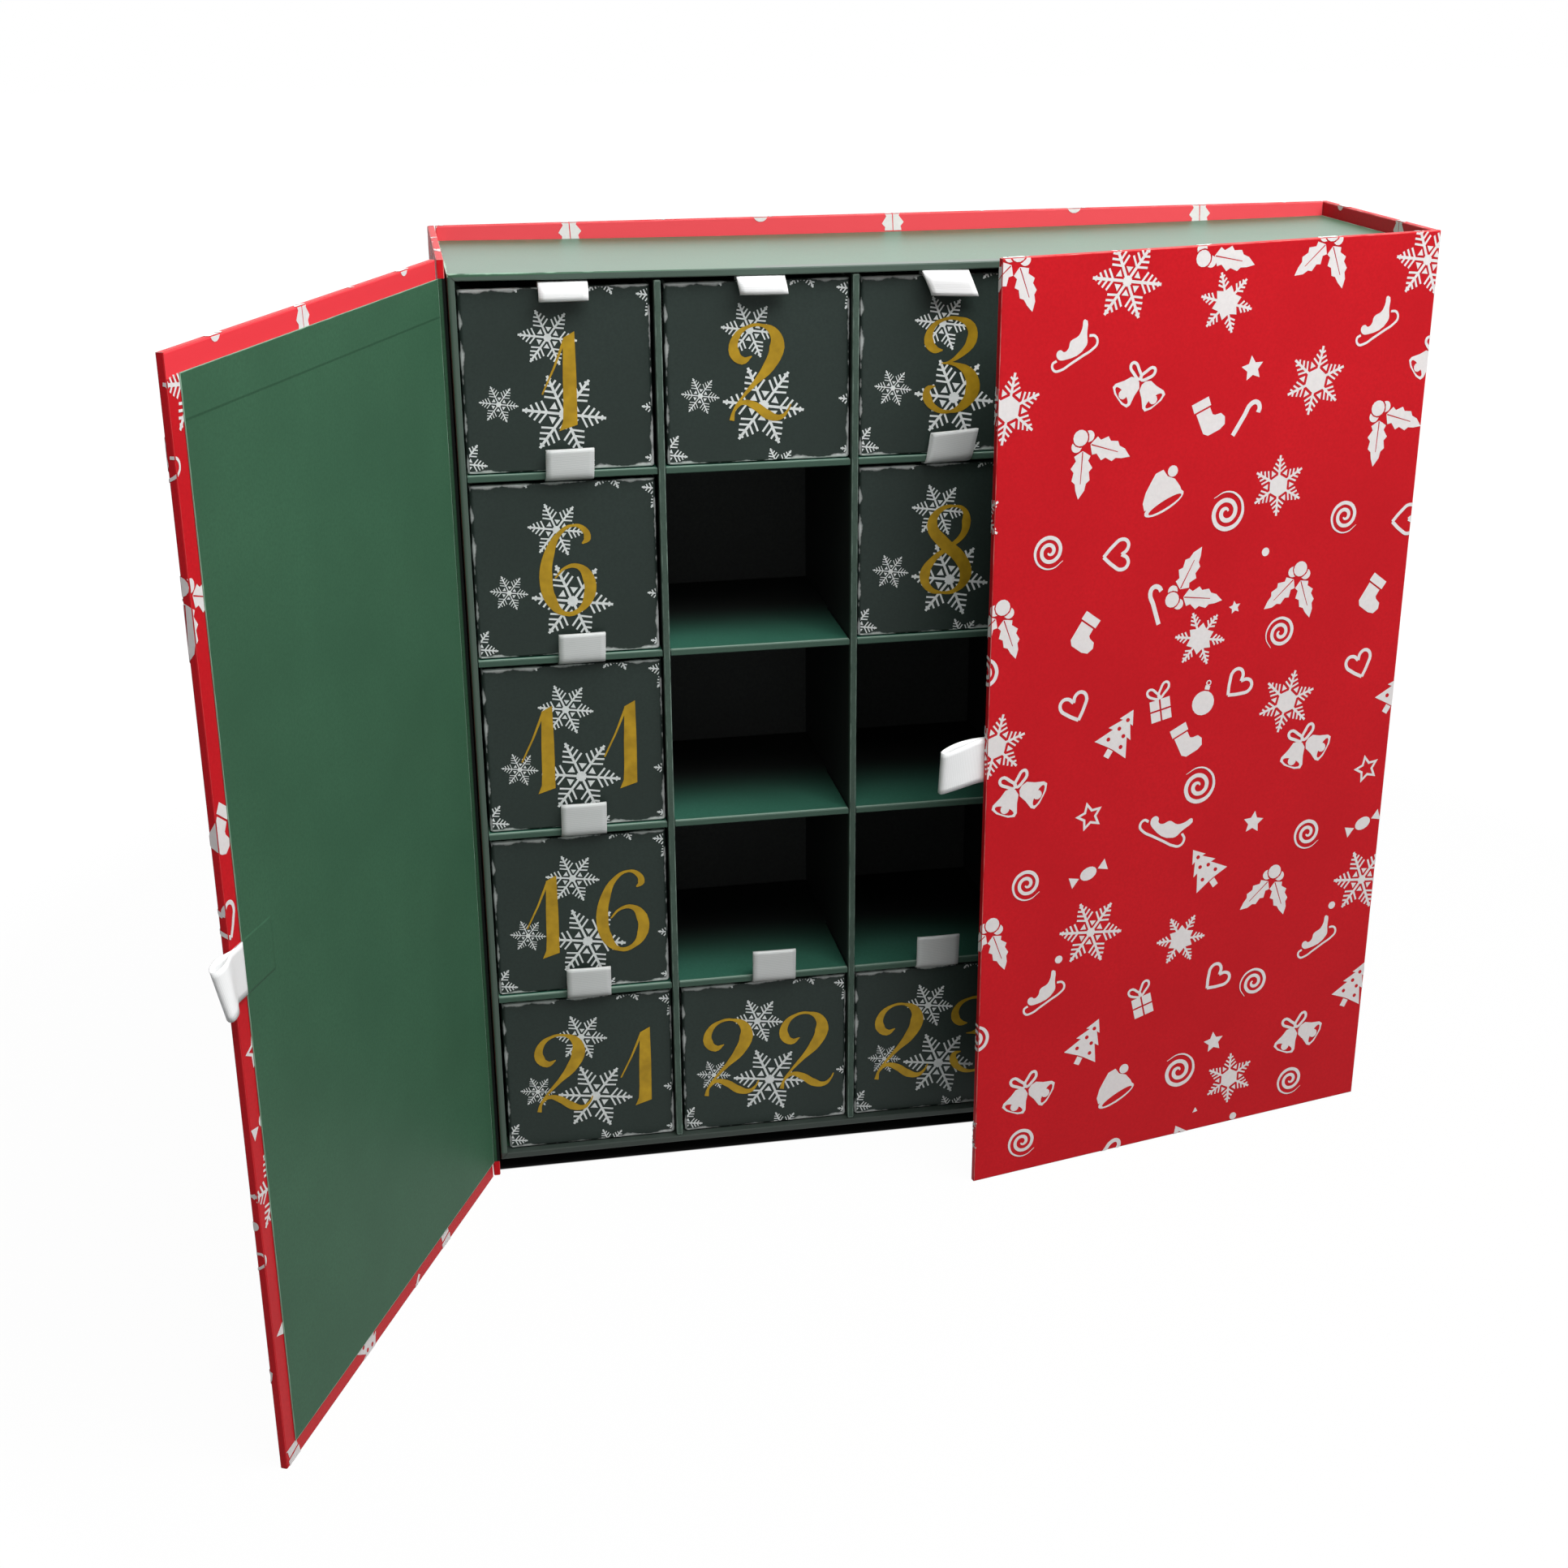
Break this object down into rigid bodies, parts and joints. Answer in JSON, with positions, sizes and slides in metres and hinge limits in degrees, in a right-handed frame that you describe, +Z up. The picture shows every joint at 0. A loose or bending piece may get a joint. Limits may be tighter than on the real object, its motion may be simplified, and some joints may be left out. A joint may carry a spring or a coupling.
{
  "type": "advent calendar box",
  "caption": "Book-style gift box with two hinged doors in front of a grid of small numbered pull-out drawers with ribbon pulls",
  "frame": {"origin": "the middle of the back board's bottom edge, on the table", "axes": "+Z up, -Y towards the front that the doors close over, +X to the right as seen from the front"},
  "size_m": [0.3735, 0.2289, 0.3014],
  "materials": {
    "case_paper": "matt red printed paper with white festive motifs, glued over grey board",
    "liner_paper": "matt green paper with a fine grain",
    "tray_paper": "matt green paper glued over board, paler on its cut edges",
    "black_card": "matt black card",
    "drawer_card": "dark green-black folded card, printed with white snowflakes and a gold number",
    "ribbon": "white satin ribbon"
  },
  "bodies": {
    "case_and_tray": {"back_board": "case_paper", "left_side_board": "case_paper", "right_side_board": "case_paper", "tray_frame": "tray_paper", "tray_back_panel": "black_card", "divider_1": "tray_paper", "divider_2": "tray_paper", "divider_3": "tray_paper", "divider_4": "tray_paper", "shelf_1": "tray_paper", "shelf_2": "tray_paper", "shelf_3": "tray_paper", "shelf_4": "tray_paper"},
    "left_door": {"left_door_board": "case_paper", "left_door_liner": "liner_paper", "left_door_ribbon": "ribbon"},
    "right_door": {"right_door_board": "case_paper", "right_door_liner": "liner_paper", "right_door_ribbon": "ribbon"},
    "drawer_01": {"drawer_01": "drawer_card", "pull_tab_01": "ribbon"},
    "drawer_02": {"drawer_02": "drawer_card", "pull_tab_02": "ribbon"},
    "drawer_03": {"drawer_03": "drawer_card", "pull_tab_03": "ribbon"},
    "drawer_04": {"drawer_04": "drawer_card", "pull_tab_04": "ribbon"},
    "drawer_05": {"drawer_05": "drawer_card", "pull_tab_05": "ribbon"},
    "drawer_06": {"drawer_06": "drawer_card", "pull_tab_06": "ribbon"},
    "drawer_08": {"drawer_08": "drawer_card", "pull_tab_08": "ribbon"},
    "drawer_09": {"drawer_09": "drawer_card", "pull_tab_09": "ribbon"},
    "drawer_10": {"drawer_10": "drawer_card", "pull_tab_10": "ribbon"},
    "drawer_11": {"drawer_11": "drawer_card", "pull_tab_11": "ribbon"},
    "drawer_14": {"drawer_14": "drawer_card", "pull_tab_14": "ribbon"},
    "drawer_15": {"drawer_15": "drawer_card", "pull_tab_15": "ribbon"},
    "drawer_16": {"drawer_16": "drawer_card", "pull_tab_16": "ribbon"},
    "drawer_19": {"drawer_19": "drawer_card", "pull_tab_19": "ribbon"},
    "drawer_20": {"drawer_20": "drawer_card", "pull_tab_20": "ribbon"},
    "drawer_21": {"drawer_21": "drawer_card", "pull_tab_21": "ribbon"},
    "drawer_22": {"drawer_22": "drawer_card", "pull_tab_22": "ribbon"},
    "drawer_23": {"drawer_23": "drawer_card", "pull_tab_23": "ribbon"},
    "drawer_24": {"drawer_24": "drawer_card", "pull_tab_24": "ribbon"},
    "drawer_25": {"drawer_25": "drawer_card", "pull_tab_25": "ribbon"}
  },
  "joints": [
    {"name": "left_door_hinge", "type": "hinge", "parent": "case_and_tray", "child": "left_door", "pos_m": [-0.15275, -0.0805, 0.1507], "axis": [0, 0, -1], "range_deg": [-114.7, 65.3], "deforming": ["left_door_ribbon"]},
    {"name": "right_door_hinge", "type": "hinge", "parent": "case_and_tray", "child": "right_door", "pos_m": [0.15275, -0.0805, 0.1507], "axis": [0, 0, 1], "range_deg": [-12.1, 167.9], "deforming": ["right_door_ribbon"]},
    {"name": "drawer_01_slide", "type": "slide", "parent": "case_and_tray", "child": "drawer_01", "axis": [0, -1, 0], "range_m": [0, 0.06], "deforming": ["pull_tab_06"]},
    {"name": "drawer_02_slide", "type": "slide", "parent": "case_and_tray", "child": "drawer_02", "axis": [0, -1, 0], "range_m": [0, 0.06]},
    {"name": "drawer_03_slide", "type": "slide", "parent": "case_and_tray", "child": "drawer_03", "axis": [0, -1, 0], "range_m": [0, 0.0295], "deforming": ["pull_tab_08"]},
    {"name": "drawer_04_slide", "type": "slide", "parent": "case_and_tray", "child": "drawer_04", "axis": [0, -1, 0], "range_m": [0, 0.017], "deforming": ["pull_tab_09"]},
    {"name": "drawer_05_slide", "type": "slide", "parent": "case_and_tray", "child": "drawer_05", "axis": [0, -1, 0], "range_m": [0, 0.004], "deforming": ["pull_tab_10"]},
    {"name": "drawer_06_slide", "type": "slide", "parent": "case_and_tray", "child": "drawer_06", "axis": [0, -1, 0], "range_m": [0, 0.06], "deforming": ["pull_tab_11"]},
    {"name": "drawer_08_slide", "type": "slide", "parent": "case_and_tray", "child": "drawer_08", "axis": [0, -1, 0], "range_m": [0, 0.0295]},
    {"name": "drawer_09_slide", "type": "slide", "parent": "case_and_tray", "child": "drawer_09", "axis": [0, -1, 0], "range_m": [0, 0.017], "deforming": ["pull_tab_14"]},
    {"name": "drawer_10_slide", "type": "slide", "parent": "case_and_tray", "child": "drawer_10", "axis": [0, -1, 0], "range_m": [0, 0.004], "deforming": ["pull_tab_15"]},
    {"name": "drawer_11_slide", "type": "slide", "parent": "case_and_tray", "child": "drawer_11", "axis": [0, -1, 0], "range_m": [0, 0.06], "deforming": ["pull_tab_16"]},
    {"name": "drawer_14_slide", "type": "slide", "parent": "case_and_tray", "child": "drawer_14", "axis": [0, -1, 0], "range_m": [0, 0.017], "deforming": ["pull_tab_19"]},
    {"name": "drawer_15_slide", "type": "slide", "parent": "case_and_tray", "child": "drawer_15", "axis": [0, -1, 0], "range_m": [0, 0.004], "deforming": ["pull_tab_20"]},
    {"name": "drawer_16_slide", "type": "slide", "parent": "case_and_tray", "child": "drawer_16", "axis": [0, -1, 0], "range_m": [0, 0.06], "deforming": ["pull_tab_21"]},
    {"name": "drawer_19_slide", "type": "slide", "parent": "case_and_tray", "child": "drawer_19", "axis": [0, -1, 0], "range_m": [0, 0.017], "deforming": ["pull_tab_24"]},
    {"name": "drawer_20_slide", "type": "slide", "parent": "case_and_tray", "child": "drawer_20", "axis": [0, -1, 0], "range_m": [0, 0.004], "deforming": ["pull_tab_25"]},
    {"name": "drawer_21_slide", "type": "slide", "parent": "case_and_tray", "child": "drawer_21", "axis": [0, -1, 0], "range_m": [0, 0.06]},
    {"name": "drawer_22_slide", "type": "slide", "parent": "case_and_tray", "child": "drawer_22", "axis": [0, -1, 0], "range_m": [0, 0.06]},
    {"name": "drawer_23_slide", "type": "slide", "parent": "case_and_tray", "child": "drawer_23", "axis": [0, -1, 0], "range_m": [0, 0.0295]},
    {"name": "drawer_24_slide", "type": "slide", "parent": "case_and_tray", "child": "drawer_24", "axis": [0, -1, 0], "range_m": [0, 0.017]},
    {"name": "drawer_25_slide", "type": "slide", "parent": "case_and_tray", "child": "drawer_25", "axis": [0, -1, 0], "range_m": [0, 0.004]}
  ]
}
